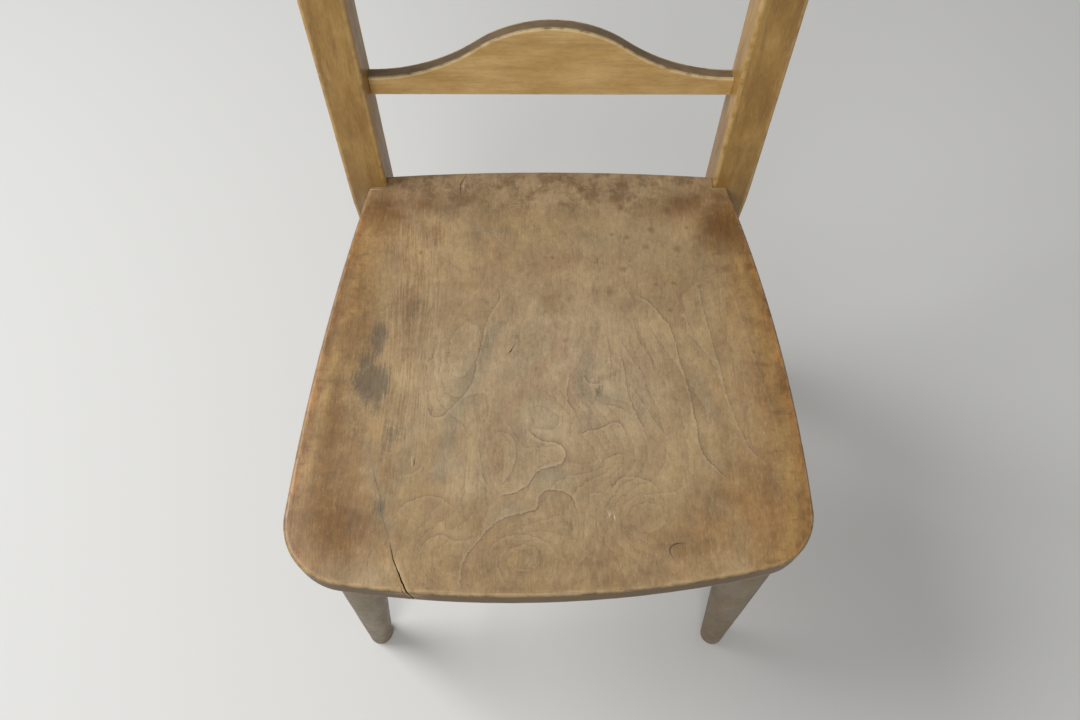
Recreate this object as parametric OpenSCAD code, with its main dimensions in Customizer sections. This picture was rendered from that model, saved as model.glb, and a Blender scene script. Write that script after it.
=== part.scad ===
// Kitchen chair with a worn plank seat, notched back posts and a scooped middle rail.
// Millimetres. X goes across the chair, -Y is its front, +Z is up, and the floor is z = 0.
// Left and right are as seen from in front of the chair: left is -X.
// Sizes are laid out from the seat's middle, then the whole chair is moved back to front so its depth is centred.

/* [Seat] */
// Height of the seat's top face above the floor
seat_h = 445; // [380:1:500]
// Thickness of the seat plank
seat_t = 24; // [18:0.5:36]
// Width of the seat at its widest, just behind the front corners
seat_front_w = 400; // [330:0.5:480]
// How far the seat's widest part sits to the left of the middle
seat_front_shift = 1.3; // [0:0.1:6]
// Width of the seat between its side edges at the back notches
seat_back_w = 321.6; // [290:0.1:400]
// How far the seat sits to the left of the middle at the back notches
seat_back_shift = 1.3; // [0:0.1:4]
// Distance from the seat's middle to the back edge
seat_back_y = 178.3; // [150:0.1:220]
// Distance from the seat's middle to the most forward point of the front edge
seat_front_y = 204.3; // [170:0.1:250]
// Radius of the bowed front edge
front_bow_r = 904; // [600:1:2000]
// How far the front edge's bow is off centre, towards the left
front_skew = 32; // [0:0.5:80]
// Bulge of the left side edge beyond a straight line
side_bow_left = 5; // [1:0.1:12]
// Bulge of the right side edge beyond a straight line
side_bow_right = 8.2; // [1:0.1:12]
// Bulge of the back edge
back_bow_r = 1965; // [900:5:4000]
// Radius of the front left corner
corner_left_r = 50.5; // [20:0.5:70]
// Radius of the front right corner
corner_right_r = 45.5; // [20:0.5:70]

/* [Split at the front edge] */
// Where the split opens on the front edge, left of the middle
split_x = 104.5; // [70:0.5:118]
// Opening of the split at the front edge
split_w = 1.4; // [0.8:0.1:6]
// Length of the split towards the back
split_len = 35; // [15:1:60]
// Angle of the split off the grain, in degrees
split_turn = 24.5; // [0:0.5:35]
// Distance at the front edge from the split to its short side branch
branch_gap = 3.6; // [2:0.1:8]
// Length of the side branch
branch_len = 12; // [5:0.5:14]

/* [Back posts and back legs] */
// Width of a post seen from the front
post_w = 35; // [28:0.5:45]
// Depth of a post from front to back
post_d = 34; // [26:0.5:45]
// Distance from the middle to a post's inner face at the seat
post_in_x = 145.7; // [130:0.1:170]
// Distance from the seat's middle to a post's front face, which is the notch's front wall
post_front_y = 160; // [140:0.5:190]
// Length of a post above the seat, along its slope
post_up = 412; // [300:1:520]
// Backward lean of the posts above the seat, in degrees
lean = 7.2; // [3:0.1:12]
// Outward lean of each post above the seat, in degrees
splay = 1.83; // [0:0.01:4]
// Distance that a back foot stands behind the post at the seat
foot_back = 44; // [10:1:80]
// Distance that a back foot stands outside the post at the seat
foot_out = 8; // [0:1:30]
// Width of a back foot
foot_w = 28; // [22:0.5:36]
// Depth of a back foot
foot_d = 28; // [22:0.5:36]
// Radius of the rounded post tops
post_top_r = 9; // [4:0.5:14]

/* [Middle rail] */
// Height of the rail's lower edge above the seat, along the slope
rail_up = 89; // [60:0.5:200]
// Height of the rail at its ends
rail_end_h = 17.5; // [12:0.5:30]
// Thickness of the rail
rail_t = 12.5; // [9:0.5:18]
// Distance of the rail's face behind the posts' front faces
rail_set = 18.5; // [4:0.5:20]
// Radius of the scoops in the rail's upper edge
scoop_r = 150; // [100:1:220]
// Distance from the middle to where a scoop turns into the crown
crown_x = 60; // [40:1:80]

/* [Top rail] */
// Height of the top rail at its ends
top_end_h = 76; // [50:1:110]
// Extra height of the top rail in the middle
top_rise = 14; // [0:1:40]
// Thickness of the top rail
top_t = 18; // [12:0.5:24]
// Distance of the top rail's ends below the post tops
top_drop = 14; // [4:1:40]
// Distance of the top rail's face behind the posts' front faces
top_set = 8; // [2:0.5:12]

/* [Joints] */
// Length of the rail tenons in the posts
tenon_len = 15; // [8:0.5:24]
// Shoulder left all round a rail tenon
shoulder = 2; // [1:0.5:4]
// Clearance round tenons and screws
gap = 0.05; // [0:0.01:0.3]
// Clearance at the bottom of a socket
end_gap = 0.5; // [0:0.1:2]

/* [Front legs] */
// Distance from the middle to a front leg's axis under the seat
leg_top_x = 155; // [120:1:170]
// Distance from the seat's middle forward to a front leg's axis under the seat
leg_top_y = 160; // [120:1:168]
// Distance from the middle to a front foot
leg_foot_x = 193.5; // [150:0.5:230]
// Distance from the seat's middle forward to a front foot
leg_foot_y = 150; // [120:1:220]
// Radius of a front leg under the seat
leg_top_r = 23; // [16:0.5:26]
// Radius of a front leg at the floor
leg_foot_r = 13; // [10:0.5:20]
// Radius of the round tenon on top of a front leg
leg_tenon_r = 11; // [8:0.5:14]
// Depth of the leg sockets in the seat
leg_socket = 17; // [10:0.5:20]

/* [Stretchers] */
// Height of the side stretchers above the floor
stretch_h = 240; // [180:1:300]
// Radius of a side stretcher at its ends
stretch_end_r = 7.5; // [6:0.5:9]
// Radius of a side stretcher in its middle
stretch_mid_r = 11.5; // [9:0.5:14]
// Depth of a side stretcher's sockets in the legs
stretch_socket = 20; // [12:0.5:24]
// Radius of the cross stretcher at its ends
cross_end_r = 6; // [5:0.5:7]
// Radius of the cross stretcher in its middle
cross_mid_r = 10; // [8:0.5:13]
// Depth of the cross stretcher's sockets
cross_socket = 9; // [6:0.5:12]
// Distance of the cross stretcher behind the seat's middle
cross_y = 15; // [-60:1:80]

/* [Screws] */
// Radius of a screw's shank
screw_r = 2.5; // [1.5:0.1:3.5]
// Radius of a screw's head
screw_head_r = 4.8; // [3:0.1:6]
// Length of a screw
screw_len = 68; // [45:1:90]

/* [Hidden] */
$fn = 96;
seat_low = seat_h - seat_t;
seat_mid_z = seat_h - seat_t / 2;

// Side edge: an arc through the notch corner and the widest point, on the side s = 1 or -1
function side_bow(s) = s < 0 ? side_bow_left : side_bow_right;
function side_a(s) = [seat_back_w / 2 - s * seat_back_shift, post_front_y];
function side_b(s) = [seat_front_w / 2 - s * seat_front_shift, 79.3 - seat_front_y];
function side_chord(s) = norm(side_b(s) - side_a(s));
function side_r(s) = side_chord(s) * side_chord(s) / (8 * side_bow(s)) + side_bow(s) / 2;
function side_out(s) = [side_a(s)[1] - side_b(s)[1], side_b(s)[0] - side_a(s)[0]] / side_chord(s);
function side_in(s) = (side_a(s) + side_b(s)) / 2 - side_out(s) * (side_r(s) - side_bow(s));
function side_c(s) = [s * side_in(s)[0], side_in(s)[1]];

front_c = [-front_skew, front_bow_r - seat_front_y];
back_c = [0, seat_back_y - back_bow_r];

// The lower meeting point of two circles
function meet(c1, r1, c2, r2) =
  let (d = norm(c2 - c1), a = (d * d + r1 * r1 - r2 * r2) / (2 * d), h = sqrt(r1 * r1 - a * a),
       u = (c2 - c1) / d, m = c1 + a * u, p = m + h * [u[1], -u[0]], q = m - h * [u[1], -u[0]])
  p[1] < q[1] ? p : q;
function along(c, p, r) = c + (p - c) * r / norm(p - c);

// Direction of the back posts, as slopes
lean_s = tan(lean);
splay_s = tan(splay);
post_top_z = seat_h + post_up * cos(lean);
post_top_back = post_front_y + post_up * sin(lean);
post_back_w = post_d / cos(lean);

// The chair stands so that the middle of its depth is at y = 0
back_reach = max(post_top_back + post_d * cos(lean), post_front_y + foot_back + foot_d);
y_off = (seat_front_y - back_reach) / 2;

// A front leg: its axis as a unit vector that points down
leg_axis = [leg_foot_x - leg_top_x, leg_top_y - leg_foot_y, -seat_low];
leg_len = norm(leg_axis);
leg_dir = leg_axis / leg_len;
leg_socket_reach = leg_socket / -leg_dir[2];

// A side stretcher runs from a front leg's axis to the middle of a back leg
leg_drop = (seat_low - stretch_h) / seat_low;
stretch_a = [leg_top_x + (leg_foot_x - leg_top_x) * leg_drop, -leg_top_y + (leg_top_y - leg_foot_y) * leg_drop, stretch_h];
stretch_b = [post_in_x + post_w / 2 + (foot_out + (foot_w - post_w) / 2) * leg_drop,
             post_front_y + post_back_w / 2 + (foot_back + (foot_d - post_back_w) / 2) * leg_drop, stretch_h];
back_leg_d = post_back_w + (foot_d - post_back_w) * leg_drop;
front_leg_r = leg_top_r + (leg_foot_r - leg_top_r) * leg_drop;
stretch_len = norm(stretch_b - stretch_a);
stretch_turn = atan2(stretch_b[0] - stretch_a[0], stretch_b[1] - stretch_a[1]);
front_in = stretch_socket - front_leg_r;
back_in = stretch_socket - back_leg_d / 2;
cross_part = (cross_y - stretch_a[1]) / (stretch_b[1] - stretch_a[1]);
cross_x = stretch_a[0] + (stretch_b[0] - stretch_a[0]) * cross_part;

// Rail heights in the sloping plane of the back
crown_low = rail_up + rail_end_h + scoop_r - sqrt(scoop_r * scoop_r - pow(148 - crown_x, 2));
crown_slope = (148 - crown_x) / sqrt(scoop_r * scoop_r - pow(148 - crown_x, 2));
crown_r = crown_x * sqrt(1 + 1 / (crown_slope * crown_slope));
crown_c = crown_low - crown_x / crown_slope;
top_low = post_up - top_drop - top_end_h;
top_half = post_in_x + splay_s * (post_up - top_drop);
top_arc_r = (top_half * top_half + top_rise * top_rise) / (2 * max(top_rise, 0.5));

// Which piece to show

module placed() translate([0, y_off, 0]) children();

// What is drawn in the sloping plane of the back: x across, z along the posts
module in_back_plane(set, thick)
  translate([0, post_front_y, seat_h]) rotate([-lean, 0, 0])
    translate([0, set + thick, 0]) rotate([90, 0, 0]) linear_extrude(thick) children();

module corner_cut(s, r)
{
  f = meet(side_c(s), side_r(s) - r, front_c, front_bow_r - r);
  a = along(side_c(s), f, side_r(s));
  b = along(front_c, f, front_bow_r);
  edge_x = s * (seat_front_w / 2 + 30);
  difference()
  {
    polygon([f, a, [edge_x, a[1]], [edge_x, -seat_front_y - 30], [b[0], -seat_front_y - 30], b]);
    translate(f) circle(r, $fn = 128);
  }
}

module seat_outline()
  difference()
  {
    intersection()
    {
      translate(front_c) circle(front_bow_r, $fn = 720);
      translate(back_c) circle(back_bow_r, $fn = 1400);
      translate(side_c(1)) circle(side_r(1), $fn = 1600);
      translate(side_c(-1)) circle(side_r(-1), $fn = 1600);
    }
    corner_cut(1, corner_right_r);
    corner_cut(-1, corner_left_r);
    for (s = [-1, 1])
      translate([s * (post_in_x + 60), post_front_y + 60]) square(120, center = true);
  }

module front_split()
  translate([-split_x, -seat_front_y - 1]) rotate(split_turn)
  {
    polygon([[-split_w / 2, -2], [split_w / 2, -2], [split_w * 0.42, split_len * 0.45], [0.1, split_len + 1], [-split_w * 0.28, split_len * 0.5]]);
    polygon([[-branch_gap - split_w * 0.5, -2], [-branch_gap + split_w * 0.3, -2], [-branch_gap * 0.45, branch_len + 1]]);
  }

module leg_hole(s)
  translate([s * leg_top_x, -leg_top_y, seat_low])
    aim([s * leg_dir[0], leg_dir[1], leg_dir[2]]) translate([0, 0, -leg_socket_reach]) cylinder(r = leg_tenon_r + gap, h = leg_socket_reach + 20);

// Points +Z along a direction
module aim(d)
  rotate([0, acos(d[2] / norm(d)), atan2(d[1], d[0])]) children();

module seat()
  color([0.6, 0.51, 0.38]) placed()
    difference()
    {
      translate([0, 0, seat_low]) linear_extrude(seat_t)
        difference()
        {
          seat_outline();
          front_split();
        }
      for (s = [-1, 1])
      {
        leg_hole(s);
        screw_holes(s);
      }
    }

// A back post and leg seen from the side: y across, z up
module post_side_shape()
  polygon([[post_front_y, seat_h], [post_front_y, seat_low], [post_front_y + foot_back, 0], [post_front_y + foot_back + foot_d, 0],
           [post_front_y + post_back_w, seat_low], [post_front_y + post_back_w, seat_h],
           [post_top_back + post_d * cos(lean), post_top_z - post_d * sin(lean)], [post_top_back, post_top_z]]);

// The same seen from the front: x across, z up
module post_front_shape()
{
  top_in = post_in_x + splay_s * (post_top_z - post_top_r - seat_h);
  polygon([[post_in_x, seat_h], [post_in_x, seat_low], [post_in_x + foot_out, 0], [post_in_x + foot_out + foot_w, 0],
           [post_in_x + post_w, seat_low], [post_in_x + post_w, seat_h],
           [top_in + post_w, post_top_z - post_top_r], [top_in + post_w - post_top_r, post_top_z - post_top_r],
           [top_in + post_w - post_top_r, post_top_z], [top_in + post_top_r, post_top_z],
           [top_in + post_top_r, post_top_z - post_top_r], [top_in, post_top_z - post_top_r]]);
  translate([top_in + post_top_r, post_top_z - post_top_r]) circle(post_top_r);
  translate([top_in + post_w - post_top_r, post_top_z - post_top_r]) circle(post_top_r);
}

module post(s)
  color([0.6, 0.47, 0.27]) placed()
    difference()
    {
      intersection()
      {
        rotate([90, 0, 90]) translate([0, 0, -300]) linear_extrude(600) post_side_shape();
        translate([0, 400, 0]) rotate([90, 0, 0]) linear_extrude(500) mirror([s < 0 ? 1 : 0, 0]) post_front_shape();
      }
      in_back_plane(rail_set + shoulder - gap, rail_t - 2 * shoulder + 2 * gap) rail_tenons(gap, end_gap);
      in_back_plane(top_set + 2 * shoulder - gap, top_t - 4 * shoulder + 2 * gap) top_tenons(gap, end_gap);
      side_stretcher_ends(s, gap, end_gap);
      screw_holes(s);
    }

module left_back_post() post(-1);
module right_back_post() post(1);

// A front leg: a round taper with a round tenon, cut level at the seat and the floor
module front_leg(s)
  color([0.5, 0.42, 0.28]) placed()
    difference()
    {
      union()
      {
        intersection()
        {
          translate([s * leg_top_x, -leg_top_y, seat_low]) aim([s * leg_dir[0], leg_dir[1], leg_dir[2]])
            rotate([0, 0, 50]) translate([0, 0, -30]) cylinder(r1 = leg_top_r + 30 * (leg_top_r - leg_foot_r) / leg_len, r2 = leg_foot_r - 30 * (leg_top_r - leg_foot_r) / leg_len, h = leg_len + 60);
          translate([-400, -400, 0]) cube([800, 800, seat_low]);
        }
        translate([s * leg_top_x, -leg_top_y, seat_low]) aim([s * leg_dir[0], leg_dir[1], leg_dir[2]])
          rotate([0, 0, 95]) translate([0, 0, -leg_socket_reach + end_gap]) cylinder(r = leg_tenon_r, h = leg_socket_reach + 15);
      }
      side_stretcher_ends(s, gap, end_gap);
    }

module left_front_leg() front_leg(-1);
module right_front_leg() front_leg(1);

// The space between the posts' inner faces
module between_posts()
  translate([0, 400, 0]) rotate([90, 0, 0]) linear_extrude(500)
    polygon([[-post_in_x, seat_h], [post_in_x, seat_h],
             [post_in_x + splay_s * 600, seat_h + 600], [-post_in_x - splay_s * 600, seat_h + 600]]);

module rail_tenons(side, tip)
  for (s = [-1, 1])
  {
    reach = post_in_x + splay_s * rail_up + tenon_len + tip;
    translate([s > 0 ? post_in_x - 20 : -reach, rail_up + shoulder - side])
      square([reach - post_in_x + 20, rail_end_h - 2 * shoulder + 2 * side]);
  }

module middle_rail()
  color([0.66, 0.54, 0.34]) placed()
  {
    intersection()
    {
      in_back_plane(rail_set, rail_t) rail_shape();
      between_posts();
    }
    in_back_plane(rail_set + shoulder, rail_t - 2 * shoulder) rail_tenons(0, 0);
  }

module rail_shape()
{
  difference()
  {
    translate([-165, rail_up]) square([330, crown_low - rail_up]);
    for (s = [-1, 1])
    {
      translate([s * 148, rail_up + rail_end_h + scoop_r]) circle(scoop_r, $fn = 240);
      translate([s > 0 ? 148 : -168, rail_up + rail_end_h]) square([20, scoop_r]);
    }
  }
  intersection()
  {
    translate([0, crown_c]) circle(crown_r, $fn = 240);
    translate([-crown_x, rail_up + 1]) square([2 * crown_x, 200]);
  }
}

module top_tenons(side, tip)
  for (s = [-1, 1])
  {
    reach = post_in_x + splay_s * (top_low + top_end_h / 2) + tenon_len + 2 + tip;
    translate([s > 0 ? post_in_x - 10 : -reach, top_low + 4 * shoulder - side])
      square([reach - post_in_x + 10, top_end_h - 8 * shoulder + 2 * side]);
  }

module top_rail()
  color([0.6, 0.47, 0.27]) placed()
  {
    intersection()
    {
      in_back_plane(top_set, top_t)
        intersection()
        {
          translate([-200, top_low]) square([400, top_end_h + top_rise]);
          translate([0, top_low + top_end_h + top_rise - top_arc_r]) circle(top_arc_r, $fn = 480);
        }
      between_posts();
    }
    in_back_plane(top_set + 2 * shoulder, top_t - 4 * shoulder) top_tenons(0, 0);
  }

// The stretcher's ends, as they stand in the legs
module side_stretcher_ends(s, side, tip)
  mirror([s < 0 ? 1 : 0, 0, 0]) translate(stretch_a) rotate([-90, 0, -stretch_turn])
    translate([0, 0, -front_in - tip]) cylinder(r = stretch_end_r + side, h = stretch_len + front_in + back_in + 2 * tip);

module side_stretcher(s)
  color([0.56, 0.44, 0.27]) placed()
    difference()
    {
      union()
      {
        side_stretcher_ends(s, 0, 0);
        mirror([s < 0 ? 1 : 0, 0, 0]) translate(stretch_a) rotate([-90, 0, -stretch_turn])
        {
          translate([0, 0, 45]) cylinder(r1 = stretch_end_r, r2 = stretch_mid_r, h = stretch_len / 2 - 75);
          translate([0, 0, stretch_len / 2 - 30]) cylinder(r = stretch_mid_r, h = 60);
          translate([0, 0, stretch_len / 2 + 30]) cylinder(r1 = stretch_mid_r, r2 = stretch_end_r, h = stretch_len / 2 - 75);
        }
      }
      cross_ends(gap, end_gap);
    }

module left_side_stretcher() side_stretcher(-1);
module right_side_stretcher() side_stretcher(1);

module cross_ends(side, tip)
  translate([-(cross_x - stretch_mid_r + cross_socket + tip), cross_y, stretch_h]) rotate([0, 90, 0])
    cylinder(r = cross_end_r + side, h = 2 * (cross_x - stretch_mid_r + cross_socket + tip));

module cross_stretcher()
  color([0.56, 0.44, 0.27]) placed()
  {
    cross_ends(0, 0);
    for (s = [-1, 1]) translate([0, cross_y, stretch_h]) rotate([0, s * 90, 0])
    {
      translate([0, 0, -1]) cylinder(r = cross_mid_r, h = 31);
      translate([0, 0, 30]) cylinder(r1 = cross_mid_r, r2 = cross_end_r, h = cross_x - 30 - 40);
    }
  }

// One screw, from its head's face along +Z
module screw(r, hr, side, tip)
{
  translate([0, 0, -tip]) cylinder(r = r + side, h = screw_len + 2 * tip);
  translate([0, 0, 0]) cylinder(r1 = hr + side, r2 = r + side, h = hr - r);
}

module screws_at(s, side, tip)
{
  translate([s * (post_in_x + post_w), post_front_y + (seat_back_y - post_front_y) / 2, seat_low + seat_t * 0.3])
    rotate([0, -s * 90, 0]) screw(screw_r, screw_head_r, side, tip);
  translate([s * (seat_back_w / 2 - 8), post_front_y + post_back_w, seat_low + seat_t * 0.7])
    rotate([90, 0, 0]) screw(screw_r, screw_head_r, side, tip);
}

module screw_holes(s) screws_at(s, gap, end_gap);

module seat_screws()
  color([0.33, 0.3, 0.27]) placed()
    for (s = [-1, 1]) screws_at(s, 0, 0);

seat();
left_back_post();
right_back_post();
left_front_leg();
right_front_leg();
middle_rail();
top_rail();
left_side_stretcher();
right_side_stretcher();
cross_stretcher();
seat_screws();
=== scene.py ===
import bpy
import math
import numpy as np
from mathutils import Matrix, Vector


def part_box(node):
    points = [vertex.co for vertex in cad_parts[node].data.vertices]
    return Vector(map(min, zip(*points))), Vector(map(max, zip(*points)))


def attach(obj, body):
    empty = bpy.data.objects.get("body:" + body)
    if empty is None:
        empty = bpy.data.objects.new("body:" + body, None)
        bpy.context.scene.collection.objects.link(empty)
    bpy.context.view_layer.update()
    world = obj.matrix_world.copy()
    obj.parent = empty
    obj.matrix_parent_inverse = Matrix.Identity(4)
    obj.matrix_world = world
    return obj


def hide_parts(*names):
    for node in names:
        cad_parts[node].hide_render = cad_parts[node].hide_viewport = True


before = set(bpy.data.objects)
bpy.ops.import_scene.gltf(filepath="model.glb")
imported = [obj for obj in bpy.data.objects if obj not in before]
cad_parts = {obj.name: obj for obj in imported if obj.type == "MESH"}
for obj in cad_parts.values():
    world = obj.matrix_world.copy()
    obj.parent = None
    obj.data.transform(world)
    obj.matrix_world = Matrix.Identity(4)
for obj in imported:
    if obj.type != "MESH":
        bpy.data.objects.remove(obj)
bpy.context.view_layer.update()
print("frame loaded:", len(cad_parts), "nodes")

# Places below are in millimetres from the seat's middle: x across, y towards the back, z up from the floor.
middleFromFront = 204.3
seatLow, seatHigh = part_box("seat")
seatMiddleY = seatLow.y * 1000 + middleFromFront
seatTop = seatHigh.z * 1000
seatUnder = seatLow.z * 1000


# Camera
camera = {
    "place": (-10.4, -353.5, 1134.4),
    "down": 63.69,  # degrees below level
    "turn": 0.27,
    "roll": -0.31,
    "lens": 31.43,
    "sensor": 36,
    "nearest": 0.01,
}


def addCamera(c):
    data = bpy.data.cameras.new("camera")
    data.sensor_width = c["sensor"]
    data.lens = c["lens"]
    data.clip_start = c["nearest"]
    cam = bpy.data.objects.new("camera", data)
    bpy.context.scene.collection.objects.link(cam)
    pitch, turn, roll = (math.radians(c[k]) for k in ("down", "turn", "roll"))
    ahead = Vector((math.sin(turn) * math.cos(pitch), math.cos(turn) * math.cos(pitch), -math.sin(pitch)))
    right = Vector((math.cos(turn), -math.sin(turn), 0))
    down = ahead.cross(right)
    acrossView = right * math.cos(roll) + down * math.sin(roll)
    downView = down * math.cos(roll) - right * math.sin(roll)
    turned = Matrix((acrossView, -downView, -ahead)).transposed()
    x, y, z = c["place"]
    cam.matrix_world = Matrix.Translation((x / 1000, (y + seatMiddleY) / 1000, z / 1000)) @ turned.to_4x4()
    bpy.context.scene.camera = cam


addCamera(camera)


# Small helpers for materials
# Linear colour from ordinary 0-255 values.
def colour(r, g, b):
    parts = []
    for v in (r, g, b):
        v = v / 255
        parts.append(v / 12.92 if v <= 0.04045 else ((v + 0.055) / 1.055) ** 2.4)
    return (*parts, 1.0)


def setSocket(tree, socket, value):
    if isinstance(value, bpy.types.NodeSocket):
        tree.links.new(value, socket)
    else:
        socket.default_value = value


def node(tree, kind, sockets=None, **settings):
    n = tree.nodes.new(kind)
    for name, value in settings.items():
        setattr(n, name, value)
    for key, value in (sockets or {}).items():
        setSocket(tree, n.inputs[key], value)
    return n


def calc(tree, operation, a, b=0.0):
    return node(tree, "ShaderNodeMath", {0: a, 1: b}, operation=operation).outputs[0]


def times(tree, a, b):
    return calc(tree, "MULTIPLY", a, b)


def plus(tree, total, *more):
    for part in more:
        total = calc(tree, "ADD", total, part)
    return total


def minus(tree, a, b):
    return calc(tree, "SUBTRACT", a, b)


def flip(tree, value):
    return minus(tree, 1.0, value)


# Swings a value of 0 to 1 to both sides of nought.
def swing(tree, value, amount):
    return times(tree, minus(tree, value, 0.5), amount)


def vectorCalc(tree, operation, sockets):
    return node(tree, "ShaderNodeVectorMath", sockets, operation=operation).outputs


# Colours may be sockets or plain 0-255 values.
def blendColour(tree, factor, a, b, how="MIX"):
    a, b = (colour(*v) if isinstance(v, tuple) else v for v in (a, b))
    sockets = {0: factor, 6: a, 7: b}
    return node(tree, "ShaderNodeMix", sockets, data_type="RGBA", blend_type=how, clamp_factor=True).outputs[2]


# Lays colours over a tone in turn: (mask, amount, colour).
def layered(tree, tone, coats):
    for mask, amount, coat in coats:
        tone = blendColour(tree, times(tree, mask, amount), tone, coat)
    return tone


def ramp(tree, value, low, high, toLow=0.0, toHigh=1.0):
    sockets = {0: value, 1: low, 2: high, 3: toLow, 4: toHigh}
    return node(tree, "ShaderNodeMapRange", sockets, interpolation_type="SMOOTHSTEP").outputs[0]


def stretch(tree, vector, scale, turn=(0, 0, 0), move=(0, 0, 0)):
    sockets = {"Vector": vector, "Scale": scale, "Rotation": turn, "Location": move}
    return node(tree, "ShaderNodeMapping", sockets).outputs[0]


def cloudNode(tree, vector, scale, detail, rough, twist=0.0):
    sockets = {"Vector": vector, "Scale": scale, "Detail": detail, "Roughness": rough, "Distortion": twist}
    return node(tree, "ShaderNodeTexNoise", sockets, noise_dimensions="3D").outputs


def cloud(tree, vector, scale, detail=3.0, rough=0.55, twist=0.0):
    return cloudNode(tree, vector, scale, detail, rough, twist)["Fac"]


def painted(tree, name):
    return node(tree, "ShaderNodeAttribute", attribute_name=name).outputs["Fac"]


# Inputs are a number's first value, or None for a vector. All outputs are numbers.
def newGroup(name, inputs, outputs):
    group = bpy.data.node_groups.new(name, "ShaderNodeTree")
    for label, value in inputs.items():
        kind = "NodeSocketVector" if value is None else "NodeSocketFloat"
        s = group.interface.new_socket(label, in_out="INPUT", socket_type=kind)
        if value is not None:
            s.default_value = value
    for label in outputs:
        group.interface.new_socket(label, in_out="OUTPUT", socket_type="NodeSocketFloat")
    return group, group.nodes.new("NodeGroupInput").outputs, group.nodes.new("NodeGroupOutput").inputs


def useGroup(tree, name, sockets):
    n = tree.nodes.new("ShaderNodeGroup")
    n.node_tree = groups[name]
    for key, value in sockets.items():
        setSocket(tree, n.inputs[key], value)
    return n.outputs


def newMaterial(name):
    m = bpy.data.materials.new(name)
    m.use_nodes = True
    return m, m.node_tree, m.node_tree.nodes["Principled BSDF"]


def setBump(tree, shader, height, strength, distance):
    bump = node(tree, "ShaderNodeBump", {"Strength": strength, "Distance": distance, "Height": height})
    setSocket(tree, shader.inputs["Normal"], bump.outputs[0])


# Object coordinates in millimetres from the seat's middle.
def millimetres(tree):
    at = node(tree, "ShaderNodeTexCoord").outputs["Object"]
    return stretch(tree, at, (1000, 1000, 1000), move=(0, -seatMiddleY, 0))


# Shader groups
# Long fibres, pores and slow streaks that run along Z of the vector.
def makeFibreGroup():
    inputs = {"Vector": None, "Streak Width": 9.0, "Waviness": 1.0}
    g, inp, out = newGroup("woodFibre", inputs, ("Streaks", "Fibres", "Pores"))
    bend = cloudNode(g, stretch(g, inp["Vector"], (1, 1, 0.35)), 0.02, 2.0, 0.5)["Color"]
    offset = vectorCalc(g, "SUBTRACT", {0: bend, 1: (0.5, 0.5, 0.5)})[0]
    pushed = vectorCalc(g, "SCALE", {0: offset, "Scale": times(g, inp["Waviness"], 14.0)})[0]
    at = vectorCalc(g, "ADD", {0: inp["Vector"], 1: pushed})[0]
    streakScale = calc(g, "DIVIDE", 1.0, inp["Streak Width"])
    for name, squeeze, scale, detail, rough, low, high in (
            ("Streaks", 0.045, streakScale, 4.0, 0.62, 0.32, 0.68),
            ("Fibres", 0.03, 0.75, 3.0, 0.6, 0.3, 0.7),
            ("Pores", 0.09, 1.5, 1.0, 0.5, 0.66, 0.74)):
        grain = cloud(g, stretch(g, at, (1, 1, squeeze)), scale, detail, rough)
        setSocket(g, out[name], ramp(g, grain, low, high))
    return g


# Soft uneven patches, from hand dirt and old finish worn away.
def makeBlotchGroup():
    g, inp, out = newGroup("unevenPatches", {"Vector": None, "Size": 60.0, "Cover": 0.5}, ("Patches", "Broken"))
    scale = calc(g, "DIVIDE", 1.0, inp["Size"])
    big = cloud(g, inp["Vector"], scale, 4.0, 0.6)
    small = cloud(g, inp["Vector"], times(g, scale, 5.0), 4.0, 0.65)
    both = plus(g, times(g, big, 0.6), times(g, small, 0.4))
    edge = minus(g, 0.75, times(g, inp["Cover"], 0.5))
    for name, value, soft in (("Patches", big, 0.2), ("Broken", both, 0.1)):
        setSocket(g, out[name], ramp(g, value, minus(g, edge, soft), plus(g, edge, soft)))
    return g


# A thin jagged line where a painted distance is nought, with a dark flank on one side and a light one on the other.
def makeDrawnLineGroup():
    inputs = {"Vector": None, "Distance": 10.0, "Ink": 0.0, "Width": 0.9, "Wiggle": 1.2}
    g, inp, out = newGroup("growthLine", inputs, ("Line", "Flank", "Light Side"))
    slow = swing(g, cloud(g, inp["Vector"], 0.2, 2.0), 5.0)
    quick = swing(g, cloud(g, inp["Vector"], 0.5, 3.0, 0.65), 6.5)
    d = plus(g, inp["Distance"], times(g, plus(g, slow, quick), inp["Wiggle"]))
    uneven = cloud(g, inp["Vector"], 0.11, 2.0, 0.5)
    wide = times(g, inp["Width"], plus(g, 0.1, times(g, uneven, 1.6)))
    line = flip(g, ramp(g, calc(g, "ABSOLUTE", d), 0.0, wide))
    darkFade = flip(g, ramp(g, d, 0.0, times(g, wide, 6.0)))
    lightFade = flip(g, ramp(g, times(g, d, -1.0), 0.0, times(g, wide, 4.0)))
    darkSide = times(g, calc(g, "GREATER_THAN", d, 0.0), darkFade)
    lightSide = times(g, calc(g, "LESS_THAN", d, 0.0), lightFade)
    for name, mask in (("Line", line), ("Flank", darkSide), ("Light Side", lightSide)):
        setSocket(g, out[name], times(g, mask, inp["Ink"]))
    return g


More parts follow.
